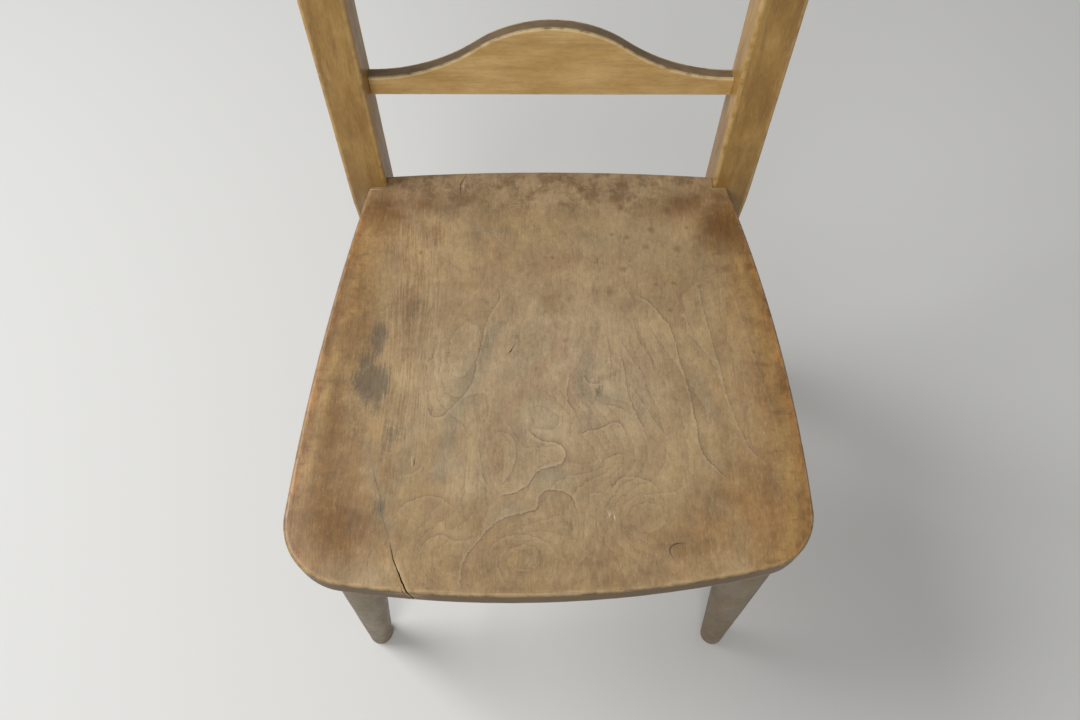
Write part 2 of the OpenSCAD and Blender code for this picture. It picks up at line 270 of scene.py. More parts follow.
# Faint contour lines where a plank cuts through uneven growth layers.
def makeLayerGroup():
    inputs = {"Vector": None, "Layer": 0.0, "Slope": 0.05, "Width": 0.8}
    g, inp, out = newGroup("growthLayers", inputs, ("Line", "Late Wood", "Early Wood"))
    wide = swing(g, cloud(g, inp["Vector"], 0.03, 2.0), 0.7)
    small = swing(g, cloud(g, inp["Vector"], 0.16, 3.0, 0.6), 7.0)
    tiny = swing(g, cloud(g, inp["Vector"], 0.45, 2.0), 2.2)
    field = plus(g, inp["Layer"], wide, times(g, plus(g, small, tiny), inp["Slope"]))
    part = calc(g, "FRACT", field)
    toLayer = calc(g, "MINIMUM", part, flip(g, part))
    near = calc(g, "DIVIDE", toLayer, calc(g, "MAXIMUM", inp["Slope"], 0.004))
    shown = ramp(g, cloud(g, stretch(g, inp["Vector"], (1, 1, 1), move=(90, 40, 0)), 0.035, 3.0), 0.36, 0.6)
    line = flip(g, ramp(g, near, 0.0, inp["Width"]))
    setSocket(g, out["Line"], times(g, line, plus(g, 0.25, shown)))
    setSocket(g, out["Late Wood"], calc(g, "POWER", part, 3.0))
    setSocket(g, out["Early Wood"], calc(g, "POWER", flip(g, part), 4.0))
    return g


groups = {
    "fibre": makeFibreGroup(),
    "blotch": makeBlotchGroup(),
    "line": makeDrawnLineGroup(),
    "layers": makeLayerGroup(),
}
print("shader groups made")


# Helpers for pieces
def onlySelect(piece):
    if bpy.context.object and bpy.context.object.mode != "OBJECT":
        bpy.ops.object.mode_set(mode="OBJECT")
    bpy.ops.object.select_all(action="DESELECT")
    piece.select_set(True)
    bpy.context.view_layer.objects.active = piece


def startEdit(piece):
    onlySelect(piece)
    bpy.ops.object.mode_set(mode="EDIT")


def endEdit():
    bpy.ops.object.mode_set(mode="OBJECT")


def editAll(piece):
    startEdit(piece)
    bpy.ops.mesh.select_all(action="SELECT")


# Starts editing with only the numbered parts selected. kind: VERT, EDGE or FACE.
def editOnly(piece, kind, numbers):
    startEdit(piece)
    bpy.ops.mesh.select_mode(type=kind)
    bpy.ops.mesh.select_all(action="DESELECT")
    endEdit()
    parts = getattr(piece.data, {"VERT": "vertices", "EDGE": "edges", "FACE": "polygons"}[kind])
    for i in numbers:
        parts[int(i)].select = True
    bpy.ops.object.mode_set(mode="EDIT")


def applyModifier(piece, kind, **settings):
    onlySelect(piece)
    bpy.ops.object.modifier_add(type=kind)
    modifier = piece.modifiers[-1]
    for name, value in settings.items():
        setattr(modifier, name, value)
    bpy.ops.object.modifier_apply(modifier=modifier.name)


def readAll(items, name, wide=1, kind=np.float64):
    values = np.empty(len(items) * wide, dtype=kind)
    items.foreach_get(name, values)
    return values.reshape(-1, wide) if wide > 1 else values


# Vertex places in millimetres from the seat's middle.
def points(piece):
    return readAll(piece.data.vertices, "co", 3) * 1000 - [0, seatMiddleY, 0]


def movePoints(piece, co):
    piece.data.vertices.foreach_set("co", ((co + [0, seatMiddleY, 0]) / 1000).ravel())
    piece.data.update()


def paint(piece, name, values):
    layer = piece.data.attributes.new(name, "FLOAT", "POINT")
    layer.data.foreach_set("value", np.asarray(values, dtype=np.float32))


samePlace = 0.00001  # metres
flatAngle = 0.2  # degrees


# A merged copy of a CAD node, with its flat faces whole again.
def copyOfNode(name, pieceName):
    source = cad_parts[name]
    piece = bpy.data.objects.new(pieceName, source.data.copy())
    piece.data.name = pieceName
    bpy.context.scene.collection.objects.link(piece)
    piece.data.materials.clear()
    if piece.data.has_custom_normals:
        onlySelect(piece)
        bpy.ops.mesh.customdata_custom_splitnormals_clear()
    editAll(piece)
    bpy.ops.mesh.remove_doubles(threshold=samePlace)
    bpy.ops.mesh.dissolve_limited(angle_limit=math.radians(flatAngle))
    endEdit()
    return piece


# The faces beside each edge, by the edge's pair of vertices.
def facesBeside(mesh):
    beside = {}
    for face in mesh.polygons:
        for key in face.edge_keys:
            beside.setdefault(key, []).append(face.index)
    return beside


def angleBetween(mesh, pair):
    return math.degrees(mesh.polygons[pair[0]].normal.angle(mesh.polygons[pair[1]].normal, 0))


# Bevels the edges between two faces that choose(endA, endB, angle) picks.
def roundEdges(piece, choose, width, steps=3):
    mesh = piece.data
    beside = facesBeside(mesh)
    co = points(piece)
    picked = []
    for edge in mesh.edges:
        pair = beside.get(tuple(sorted(edge.vertices)), [])
        a, b = (tuple(co[i]) for i in edge.vertices)
        if len(pair) == 2 and choose(a, b, angleBetween(mesh, pair)):
            picked.append(edge.index)
    editOnly(piece, "EDGE", picked)
    bpy.ops.mesh.bevel(offset=width / 1000, segments=steps, profile=0.5, affect="EDGES", clamp_overlap=False)
    endEdit()
    return len(picked)


# Groups faces that meet in less than the given angle (degrees).
def smoothRegions(mesh, beside, angle):
    near = [[] for _ in mesh.polygons]
    for pair in beside.values():
        if len(pair) == 2 and angleBetween(mesh, pair) < angle:
            near[pair[0]].append(pair[1])
            near[pair[1]].append(pair[0])
    seen, regions = set(), []
    for start in range(len(near)):
        if start in seen:
            continue
        seen.add(start)
        region = [start]
        for i in region:
            for k in near[i]:
                if k not in seen:
                    seen.add(k)
                    region.append(k)
        regions.append(region)
    return regions


border = {"merge": 0.3, "smooth": 12, "leastArea": 150}


# A narrow border just inside each broad face, so that wear stays close to the edges.
def borderFaces(piece, width):
    editAll(piece)
    bpy.ops.mesh.remove_doubles(threshold=border["merge"] / 1000)
    endEdit()
    outline = points(piece)
    mesh = piece.data
    beside = facesBeside(mesh)
    regions = smoothRegions(mesh, beside, border["smooth"])
    marks = mesh.attributes.new("borderRegion", "INT", "FACE")
    marked = 0
    for region in regions:
        inside = set(region)
        area = sum(mesh.polygons[i].area for i in region) * 1e6
        rim = 0
        for (a, b), pair in beside.items():
            if len(pair) == 2 and (pair[0] in inside) != (pair[1] in inside):
                rim += (mesh.vertices[a].co - mesh.vertices[b].co).length * 1000
        if area > border["leastArea"] and area > rim / 2 * width * 3:
            marked += 1
            for i in region:
                marks.data[i].value = marked
    for number in range(1, marked + 1):
        values = readAll(mesh.attributes["borderRegion"].data, "value", kind=np.int32)
        editOnly(piece, "FACE", np.nonzero(values == number)[0])
        bpy.ops.mesh.inset(thickness=width / 1000, depth=0, use_boundary=True, use_even_offset=False)
        endEdit()
    mesh.attributes.remove(mesh.attributes["borderRegion"])
    movePoints(piece, np.clip(points(piece), outline.min(0), outline.max(0)))


# Cuts through everything in view at the given places along an axis, while editing.
def cutAt(axis, places):
    normal = [0, 0, 0]
    normal[axis] = 1
    for at in places:
        place = [0, 0, 0]
        place[axis] = at / 1000
        bpy.ops.mesh.select_all(action="SELECT")
        bpy.ops.mesh.bisect(plane_co=place, plane_no=normal)


# Cuts even loops right through a piece, so that it can wear and wave.
def cutLoops(piece, axis, low, high, step):
    startEdit(piece)
    bpy.ops.mesh.select_mode(type="VERT")
    count = int((high - low) / step)
    cutAt(axis, [low + i * (high - low) / count for i in range(1, count)])
    endEdit()


# Marks outward edges, softened over neighbouring points, so that they can be worn pale.
def paintWear(piece, spread=1):
    mesh = piece.data
    leastAngle, anglesToFull, hold = 8, 6, 0.8
    edges = readAll(mesh.edges, "vertices", 2, np.int64)
    loopEdge = readAll(mesh.loops, "edge_index", kind=np.int64)
    corners = readAll(mesh.polygons, "loop_total", kind=np.int64)
    normal = readAll(mesh.polygons, "normal", 3)
    middle = readAll(mesh.polygons, "center", 3)
    loopFace = np.repeat(np.arange(len(corners)), corners)
    order = np.argsort(loopEdge, kind="stable")
    edge, face = loopEdge[order], loopFace[order]
    pair = np.nonzero(edge[1:] == edge[:-1])[0]
    one, two, edge = face[pair], face[pair + 1], edge[pair]
    angle = np.degrees(np.arccos(np.clip((normal[one] * normal[two]).sum(1), -1, 1)))
    outward = ((middle[two] - middle[one]) * normal[one]).sum(1) < 0
    sharp = np.where(outward, np.clip((angle - leastAngle) / anglesToFull, 0, 1), 0)
    value = np.zeros(len(mesh.vertices))
    for end in (0, 1):
        np.maximum.at(value, edges[edge, end], sharp)
    for _ in range(spread):
        total, count = value.copy(), np.ones(len(value))
        for near, far in ((0, 1), (1, 0)):
            np.add.at(total, edges[:, near], value[edges[:, far]])
            np.add.at(count, edges[:, near], 1)
        value = np.maximum(value * hold, total / count)
    paint(piece, "wornEdge", value)


# Marks how far each face corner looks upwards, from -1 to 1.
def paintFacing(piece):
    mesh = piece.data
    up = readAll(mesh.corner_normals, "vector", 3, np.float32)
    layer = mesh.attributes.new("facingUp", "FLOAT", "CORNER")
    layer.data.foreach_set("value", up[:, 2].copy())


# Tiny unevenness, always inwards, so that nothing looks machined.
def waver(piece, amount, size):
    texture = bpy.data.textures.new(piece.name + "Waver", "CLOUDS")
    texture.noise_scale = size / 1000
    texture.noise_depth = 1
    applyModifier(piece, "DISPLACE", texture=texture, texture_coords="LOCAL", mid_level=1.0, strength=amount / 1000)


def cutAway(piece, cutter):
    applyModifier(piece, "BOOLEAN", operation="DIFFERENCE", object=cutter)
    bpy.data.objects.remove(cutter)


smoothAngle = 32  # degrees


def finishPiece(piece, material, node):
    piece.data.materials.clear()
    piece.data.materials.append(material)
    onlySelect(piece)
    bpy.ops.object.shade_smooth_by_angle(angle=math.radians(smoothAngle))
    paintFacing(piece)
    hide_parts(node)
    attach(piece, "root")
    print(piece.name, "made,", len(piece.data.polygons), "faces")


def smoothStep(v, low, high):
    t = np.clip((v - low) / (high - low), 0, 1)
    return t * t * (3 - 2 * t)


# Even points along a smooth line through the given ones.
def curveThrough(pts, step=1.2):
    p = np.array(pts, float)
    p = np.vstack([2 * p[0] - p[1], p, 2 * p[-1] - p[-2]])
    out = []
    for i in range(1, len(p) - 2):
        a, b, c, d = p[i - 1], p[i], p[i + 1], p[i + 2]
        n = max(2, int(np.linalg.norm(c - b) / step))
        t = (np.arange(n) / n)[:, None]
        square, cube = 2 * a - 5 * b + 4 * c - d, 3 * b - 3 * c + d - a
        out.append(0.5 * (2 * b + (c - a) * t + square * t ** 2 + cube * t ** 3))
    out.append(p[-2][None, :])
    return np.vstack(out)


# Signed distance to the nearest stroke and that stroke's strength, fading out at its ends.
def nearestOn(strokes, xy):
    block, taperPoints, leastInk = 2000, 5, 0.15
    samples, sides, inks = [], [], []
    for strength, pts in strokes:
        line = curveThrough(pts)
        way = np.gradient(line, axis=0)
        way /= np.maximum(np.linalg.norm(way, axis=1), 1e-6)[:, None]
        along = np.linspace(0, 1, len(line))
        taper = np.clip(np.minimum(along, 1 - along) * len(line) / taperPoints, leastInk, 1)
        samples.append(line)
        sides.append(way)
        inks.append(strength * taper)
    samples, sides, inks = np.vstack(samples), np.vstack(sides), np.concatenate(inks)
    distance = np.empty(len(xy))
    ink = np.empty(len(xy))
    for start in range(0, len(xy), block):
        part = xy[start:start + block]
        gap = part[:, None, :] - samples[None, :, :]
        d2 = (gap ** 2).sum(2)
        best = d2.argmin(1)
        rows = np.arange(len(part))
        g, w = gap[rows, best], sides[best]
        turn = w[:, 0] * g[:, 1] - w[:, 1] * g[:, 0]
        d = np.sqrt(d2[rows, best])
        across = np.abs(turn)
        distance[start:start + block] = np.where(turn >= 0, 1.0, -1.0) * np.maximum(d, across)
        past = np.sqrt(np.maximum(d ** 2 - across ** 2, 0))
        ink[start:start + block] = inks[best] * (1 - smoothStep(past, 1.5, 5.0)) * (1 - smoothStep(d, 5.0, 9.0))
    return distance, ink


# How far inside a turned oval each place is: the square of its distance in half widths.
def ovalAt(xy, x, y, wide, long, turn):
    a = math.radians(turn)
    dx, dy = xy[:, 0] - x, xy[:, 1] - y
    u = (dx * math.cos(a) + dy * math.sin(a)) / wide
    v = (-dx * math.sin(a) + dy * math.cos(a)) / long
    return u ** 2 + v ** 2


# Soft round or long patches: (strength, x, y, half width, half length, turn in degrees).
def patchesAt(places, xy):
    value = np.zeros(len(xy))
    for strength, *oval in places:
        value = np.maximum(value, strength * np.exp(-ovalAt(xy, *oval) * 1.1))
    return value


# Seat
seat = {
    "grid": 2.4,
    "topRound": 3.4,
    "underRound": 2.0,
    "wallStep": 3.0,
    "dishDepth": 3.2,
    "dishStart": 13,
    "dishEnd": 52,
    # where the plain split runs, and the finer ones cut in its place: (x, y, half width)
    "splitZone": [(-119.6, -172), (-112, -188), (-104, -205)],
    "splits": [
        [(-118.4, -173.5, 0.08), (-116.9, -177.6, 0.22), (-115.2, -181.2, 0.3), (-113.6, -185.2, 0.42),
            (-111.9, -188.4, 0.4), (-110.2, -192.6, 0.52), (-108.6, -195.3, 0.5), (-106.6, -199.9, 0.6),
            (-104.6, -203.2, 0.62), (-102.6, -208, 0.7)],
        [(-110.4, -196.6, 0.08), (-109.4, -199.4, 0.22), (-108.6, -202, 0.3), (-107.6, -206.5, 0.4)],
    ],
    "splitLean": 4.0,
    "splitReach": 5.2,
    # the front legs' sockets, to either side of the middle
    "socketX": 155,
    "socketY": -160,
    "layerWidth": 17.0,
    # where the growth layers swell: (layers, x, y, half width, half length, turn)
    "swirls": [
        (5.5, -22, -178, 24, 22, 0), (3.4, -86, -176, 20, 18, 0), (4.0, 66, -144, 19, 17, 0),
        (3.2, -78, -8, 15, 36, -8), (3.0, -43, -97, 8, 22, 0),
        (-3.0, 6, -64, 22, 18, -30), (2.2, 40, -38, 16, 14, 0), (-2.4, 36, -96, 18, 12, 0),
        (2.0, 84, 30, 26, 44, 10), (-2.0, 10, 60, 40, 46, 0), (1.6, -20, 130, 50, 26, 0),
    ],
    # dark growth lines: (strength, points)
    "growthLines": [
        (1.0, [(74, 50), (83, 44), (90, 36), (95, 27), (99, 23), (101, 15), (104, 5), (106, -13), (109, -23),
            (111, -35), (113, -45), (114, -58), (116, -72), (117, -85), (121, -96), (128, -104), (136, -113)]),
        (0.7, [(63, 60), (67, 53), (70, 46), (71, 38)]),
        (0.45, [(104, 58), (108, 47), (112, 37), (115, 26), (118, 15), (121, 0)]),
        (0.7, [(127, 58), (128, 45), (130, 32), (133, 15), (135, 0), (138, -14), (140, -30), (143, -46), (147, -62),
            (152, -78), (157, -90), (166, -99)]),
        (0.6, [(73, 33), (70, 28), (71, 18), (73, 8), (78, -2), (83, -12), (84, -24)]),
        (0.4, [(84, 16), (90, 4), (93, -12), (95, -28), (97, -41)]),
        (0.55, [(46, 14), (48, 2), (49, -10), (51, -22), (52, -34)]),
        (0.65, [(56, 13), (60, 3), (66, -8), (72, -18), (76, -30), (78, -42)]),
        (0.75, [(57, -4), (60, -16), (61, -30), (63, -44), (68, -58), (73, -70), (77, -82)]),
        (0.5, [(66, -34), (72, -46), (79, -58), (86, -70), (93, -80)]),
        (0.4, [(152, 60), (158, 40), (162, 18), (165, 0), (169, -20), (174, -44), (178, -66)]),
        (0.9, [(29, -19), (28, -26), (31, -31), (37, -32), (41, -29)]),
        (0.8, [(37, -46), (42, -50), (50, -52), (57, -54), (61, -59)]),
        (0.9, [(20, -76), (28, -74), (36, -72), (43, -69), (50, -66), (56, -68), (59, -75)]),
        (0.8, [(16, -20), (15, -29), (13, -40), (14, -48), (17, -54), (20, -59)]),
        (1.0, [(-19, -71), (-12, -79), (-4, -82), (4, -83), (10, -88), (12, -94), (8, -101), (0, -104), (-8, -106),
            (-14, -112), (-18, -118), (-26, -124), (-33, -126), (-40, -128)]),
        (0.7, [(40, -106), (41, -99), (46, -95), (53, -92), (59, -94)]),
        (1.0, [(20, -140), (17, -131), (13, -126), (6, -123), (-3, -123), (-9, -128), (-11, -137), (-22, -141),
            (-34, -144), (-43, -149), (-50, -156), (-56, -164), (-62, -172), (-66, -183), (-67, -199)]),
        (0.7, [(44, -124), (48, -118), (53, -113), (60, -111), (70, -113), (78, -116), (82, -122)]),
        (0.5, [(27, -126), (34, -124), (43, -126)]),
        (0.55, [(-118, -141), (-112, -133), (-103, -129), (-92, -127), (-82, -130), (-74, -137)]),
        (0.55, [(-99, -172), (-96, -164), (-90, -159), (-82, -157), (-76, -160), (-71, -162), (-64, -161),
            (-57, -158)]),
        (0.5, [(-48, -176), (-45, -166), (-38, -160), (-28, -157), (-14, -158), (-3, -163)]),
        (0.5, [(-40, -172), (-39, -184), (-34, -193), (-28, -200)]),
        (0.45, [(-34, -176), (-30, -168), (-21, -165), (-11, -168), (-8, -176), (-13, -184), (-23, -186),
            (-31, -182)]),
        (0.4, [(-27, -175), (-22, -171), (-16, -174), (-18, -180), (-24, -180)]),
        (0.7, [(-97, -48), (-98, -55), (-94, -61), (-87, -61), (-82, -56), (-76, -49), (-70, -42), (-65, -34),
            (-62, -22), (-60, -8), (-57, 6), (-55, 20), (-50, 34), (-44, 44), (-43, 52), (-47, 59)]),
        (0.6, [(-105, -2), (-103, -9), (-100, -13), (-97, -9), (-94, 0), (-93, 9)]),
        (0.5, [(-52, -4), (-51, 8), (-53, 20)]),
        (0.6, [(-46, -76), (-38, -74), (-30, -79), (-27, -90), (-29, -103), (-34, -113), (-41, -119)]),
        (0.5, [(-54, -72), (-57, -83), (-55, -97), (-53, -110), (-48, -121)]),
        (0.5, [(-118, -110), (-108, -109), (-102, -104), (-100, -96)]),
        (0.5, [(-33, 26), (-31, 38), (-30, 50)]),
    ],
    # cracks and dents, painted near black as painted shade inside them: (strength, points)
    "cracks": [
        (1.0, [(-121, -163), (-119, -170), (-117, -177), (-113, -186), (-109, -195), (-105, -202)]),
        (0.3, [(-139, -101), (-136, -112), (-132, -124), (-129, -140), (-125, -152), (-121, -163)]),
        (0.7, [(-75, 176), (-77, 170), (-80, 163), (-80, 152)]),
        (2.6, [(-34.5, -5), (-30.5, 1)]),
        (0.9, [(100, -164), (95, -164), (90, -166), (88, -169), (89, -174), (91, -178)]),
        (2.0, [(-107, -103), (-106, -96)]),
        (0.5, [(35, -47), (38, -42), (37, -38), (41, -34)]),
        (0.5, [(20, -59), (18, -64)]),
    ],
    # faint red-brown bands: (strength, points)
    "redBands": [
        (0.6, [(12, 12), (4, -6), (-8, -20), (-20, -34), (-30, -48), (-38, -58), (-46, -68), (-52, -80)]),
        (1.0, [(-44, -86), (-43, -98), (-45, -112)]),
        (0.5, [(-60, 58), (-50, 59), (-44, 50), (-46, 36)]),
        (0.4, [(24, -84), (26, -98), (22, -110)]),
    ],
    # grey-green bands beside the figure: (strength, points)
    "greyBands": [
        (1.0, [(-40, 30), (-48, 10), (-56, -10), (-66, -34), (-76, -60), (-84, -92), (-88, -118)]),
        (0.9, [(28, 0), (30, -16), (24, -34), (34, -44), (48, -46), (60, -40)]),
        (0.8, [(-14, -114), (-4, -110), (10, -112), (20, -116)]),
        (0.7, [(-52, -150), (-34, -138), (-18, -134)]),
        (0.6, [(-108, -60), (-112, -84), (-118, -110), (-126, -136)]),
        (1.0, [(-146, -78), (-140, -105), (-131, -135), (-122, -160)]),
        (0.6, [(-70, 118), (-50, 112), (-30, 116)]),
        (0.6, [(120, -20), (124, -44), (130, -66)]),
    ],
    # (strength, x, y, half width, half length, turn)
    "satOn": [(1.0, 10, -30, 104, 108, 0)],
    "figured": [
        (1.0, 30, -120, 120, 70, 0), (1.0, 110, -20, 50, 90, 8), (1.0, -70, -20, 40, 70, 0),
        (0.9, 40, -50, 50, 50, 0), (0.8, -100, -165, 50, 40, 0), (0.4, -20, 110, 60, 40, 0),
    ],
    "darkStain": [
        (1.25, -147, -30, 13, 26, 0), (1.2, -138, -34, 9, 26, -6), (1.0, -142, 5, 8, 24, 0),
        (0.8, -158, -28, 10, 10, 0),
        (0.65, -126, -84, 11, 26, -12), (0.65, -130, -134, 8, 30, -16), (0.35, -150, -70, 12, 30, 0),
        (0.4, -22, 118, 22, 12, 0), (0.45, 42, 82, 14, 8, 0), (0.35, 20, 74, 14, 6, 10), (0.3, -32, 8, 14, 14, 0),
        (0.3, -60, -60, 12, 26, -30),
        (0.35, 48, -10, 6, 20, 0), (0.3, 40, -26, 24, 16, 0), (0.7, 39, -40, 5, 9, -20), (0.35, 32, -12, 5, 9, 0),
        (0.35, 12, -150, 16, 7, 0),
    ],
    "brownStain": [
        (1.1, 150, 120, 24, 28, -14), (0.9, 120, 142, 28, 14, 10), (0.8, 148, 150, 16, 10, 0),
        (1.0, -150, 138, 24, 22, 0), (0.8, -112, 142, 28, 12, 0), (0.5, -100, 112, 12, 14, 0),
        (0.35, 134, -126, 30, 18, 20), (0.45, 168, -110, 10, 34, 0), (0.4, 3, 42, 9, 14, 0),
        (0.5, -172, -120, 10, 44, -10),
        (0.45, 20, -178, 34, 14, 0), (0.5, -162, 40, 14, 44, 10), (0.35, -72, 60, 26, 6, 0),
        (0.5, -172, -60, 14, 50, 4), (0.7, -156, -150, 34, 28, 0), (0.5, -122, 40, 16, 60, 0),
        (0.5, -165, 10, 22, 40, 8), (0.4, -150, -110, 30, 30, 0), (0.4, -128, -110, 12, 30, -16),
        (0.4, 60, -190, 80, 8, 6), (0.45, 95, -165, 30, 16, 0), (0.4, -60, -190, 50, 12, 0),
        (0.9, -138, 132, 20, 12, -16), (0.6, -78, 148, 40, 7, 0),
        (0.4, 0, -198, 110, 6, 2), (0.3, -40, -186, 60, 12, 0),
    ],
    # old golden finish that has stayed on
    "goldStain": [
        (1.25, 162, -135, 32, 44, 10), (0.8, 128, -152, 36, 24, 0), (0.7, 176, -20, 14, 90, -6),
        (0.8, -172, -90, 16, 60, 6),
        (1.4, -166, -150, 34, 40, 0), (0.6, -160, 60, 18, 70, 10), (0.6, -140, 120, 30, 30, 0),
        (0.5, -150, -84, 20, 40, 0),
        (0.5, -128, -170, 24, 20, 0), (0.5, 20, 84, 40, 10, 0), (0.5, -2, 44, 10, 14, 0),
    ],
    "paleStain": [
        (0.9, -4, -62, 16, 15, 0), (0.8, -74, -18, 9, 44, -20), (0.6, 0, -112, 22, 12, 10),
        (0.5, 70, -60, 12, 20, 0), (0.5, -58, -118, 22, 9, 8), (0.5, 52, -44, 14, 6, 0), (0.5, -88, -20, 20, 34, 0),
        (0.5, 30, -54, 16, 16, 0), (0.6, 52, -76, 10, 8, 0),
        (0.5, -70, -104, 26, 10, 12), (0.6, -132, -188, 18, 9, 20), (0.5, 60, 105, 60, 26, 0),
        (0.45, 138, -182, 12, 7, 0), (0.6, 156, 86, 4, 4, 0),
    ],
    # (x, y, radius) of brown spots
    "spots": [
        (93, 164, 3.2), (104, 136, 3.4), (27, 158, 2.6), (56, 157, 3.2), (63, 140, 2.6), (89, 117, 3.0),
        (67, 109, 2.4), (83, 99, 2.6), (111, 97, 3.4),
        (138, 114, 3.2), (2, 88, 2.0), (63, 76, 3.0), (169, 78, 3.2), (152, 76, 3.4), (156, 128, 2.4),
        (90, 61, 2.0), (105, 62, 2.2), (167, -5, 1.8),
        (101, 36, 1.8), (51, 54, 4.6), (54, 112, 1.8), (127, 59, 1.8), (-112, 93, 1.7), (12, 7, 1.8),
        (-30, 152, 2.4), (-46, 160, 2.6), (131, 150, 2.6), (120, 118, 1.6), (76, 150, 1.8),
    ],
    "paleFlecks": [
        (1.4, [(43, -140), (44, -145)]),
        (1.4, [(47, -141), (48, -146)]),
        (1.0, [(-108, -102), (-109, -97)]),
        (0.5, [(-166, 157), (-150, 158)]),
        (0.5, [(-78, 166), (-77, 156)]),
    ],
}


# Draws the plank's plain split shut, so that a finer one can be cut.
def closeSplit(piece, s):
    co = points(piece)
    x, y, z = co.T
    gap = np.linalg.norm(co[:, None, :2] - curveThrough(s["splitZone"])[None], axis=2).min(1)
    for level in (seatTop, seatUnder):
        here = (gap < s["splitReach"]) & (np.abs(z - level) < 0.1) & (y < -160)
        mouth = here & (y < -200) & (x > -110)
        co[here] = co[mouth].mean(0)
        co[here, 1] = co[mouth, 1].mean() + 0.03
    movePoints(piece, co)
    editAll(piece)
    bpy.ops.mesh.remove_doubles(threshold=samePlace)
    bpy.ops.mesh.normals_make_consistent(inside=False)
    endEdit()


# A leaning wedge that is wide at the top of the plank and narrow under it.
def makeWedge(line, lean, past):
    line = np.array(line, float)
    p, half = line[:, :2], line[:, 2]
    way = np.gradient(p, axis=0)
    way /= np.linalg.norm(way, axis=1)[:, None]
    side = np.stack([-way[:, 1], way[:, 0]], 1)
    corners = []
    for z, shift, narrow in ((seatTop + past, -0.3, 1.05), (seatUnder - past, lean, 0.45)):
        for sign in (1, -1):
            q = p + side * (half[:, None] * narrow * sign) + [shift, 0]
            corners.append([(a / 1000, (b + seatMiddleY) / 1000, z / 1000) for a, b in q])
    topL, topR, lowL, lowR = corners
    n = len(p)
    vertices = [v for i in range(n) for v in (topL[i], topR[i], lowR[i], lowL[i])]
    faces = [(0, 1, 2, 3), tuple(4 * (n - 1) + k for k in (3, 2, 1, 0))]
    for ring in range(0, 4 * (n - 1), 4):
        for k in range(4):
            after = (k + 1) % 4
            faces.append((ring + k, ring + 4 + k, ring + 4 + after, ring + after))
    mesh = bpy.data.meshes.new("splitWedge")
    mesh.from_pydata(vertices, [], faces)
    wedge = bpy.data.objects.new("splitWedge", mesh)
    bpy.context.scene.collection.objects.link(wedge)
    editAll(wedge)
    bpy.ops.mesh.normals_make_consistent(inside=False)
    endEdit()
    return wedge


# A fine grid over the top of the seat only.
def gridTop(piece, step):
    editOnly(piece, "FACE", [face.index for face in piece.data.polygons if face.normal.z < 0.02])
    bpy.ops.mesh.hide(unselected=False)
    bpy.ops.mesh.select_mode(type="VERT")
    for axis, low, high in ((0, -206, 206), (1, -206 + seatMiddleY, 180 + seatMiddleY)):
        cutAt(axis, [low + i * step for i in range(1, int((high - low) / step))])
    bpy.ops.mesh.reveal()
    endEdit()


# How far through the growth layers the surface is at each place, and how fast that changes.
def growthLayer(swirls, layerWidth, xy):
    def at(q):
        bend = 0.10 * np.sin(q[:, 1] / 61 + 0.4) + 0.05 * np.sin(q[:, 1] / 27)
        f = (q[:, 0] + bend * 60) / layerWidth
        for height, *oval in swirls:
            f = f + height * np.exp(-ovalAt(q, *oval) * 0.5)
        return f
    across, along = (at(xy + half) - at(xy - half) for half in ([0.5, 0], [0, 0.5]))
    return at(xy), np.hypot(across, along)


# Distance from each place to the nearest of some points.
def distanceTo(rim, xy, block=4000):
    out = np.empty(len(xy))
    for i in range(0, len(xy), block):
        gap = xy[i:i + block, None, :] - rim[None, :, :]
        out[i:i + block] = np.sqrt((gap ** 2).sum(2).min(1))
    return np.maximum(out, 0.01)


# Distances from the seat's sides, back and front, and from the rim as a whole.
def rimDistances(co, s):
    flat = co[:, :2]
    x, y = flat.T
    onWall = np.abs(co[:, 2] - seatTop + s["topRound"]) < 0.2
    wall = flat[onWall & (np.hypot(np.abs(x) - s["socketX"], y - s["socketY"]) >= 16)]
    x, y = wall.T
    sideWall = (np.abs(x) > 150) & (y < 158) & (y > -175)
    side, back, front = (distanceTo(wall[part], flat) for part in (sideWall, y > 172.5, y < -178))
    blend = 2.2
    return (side ** -blend + back ** -blend) ** (-1 / blend), side, back, front


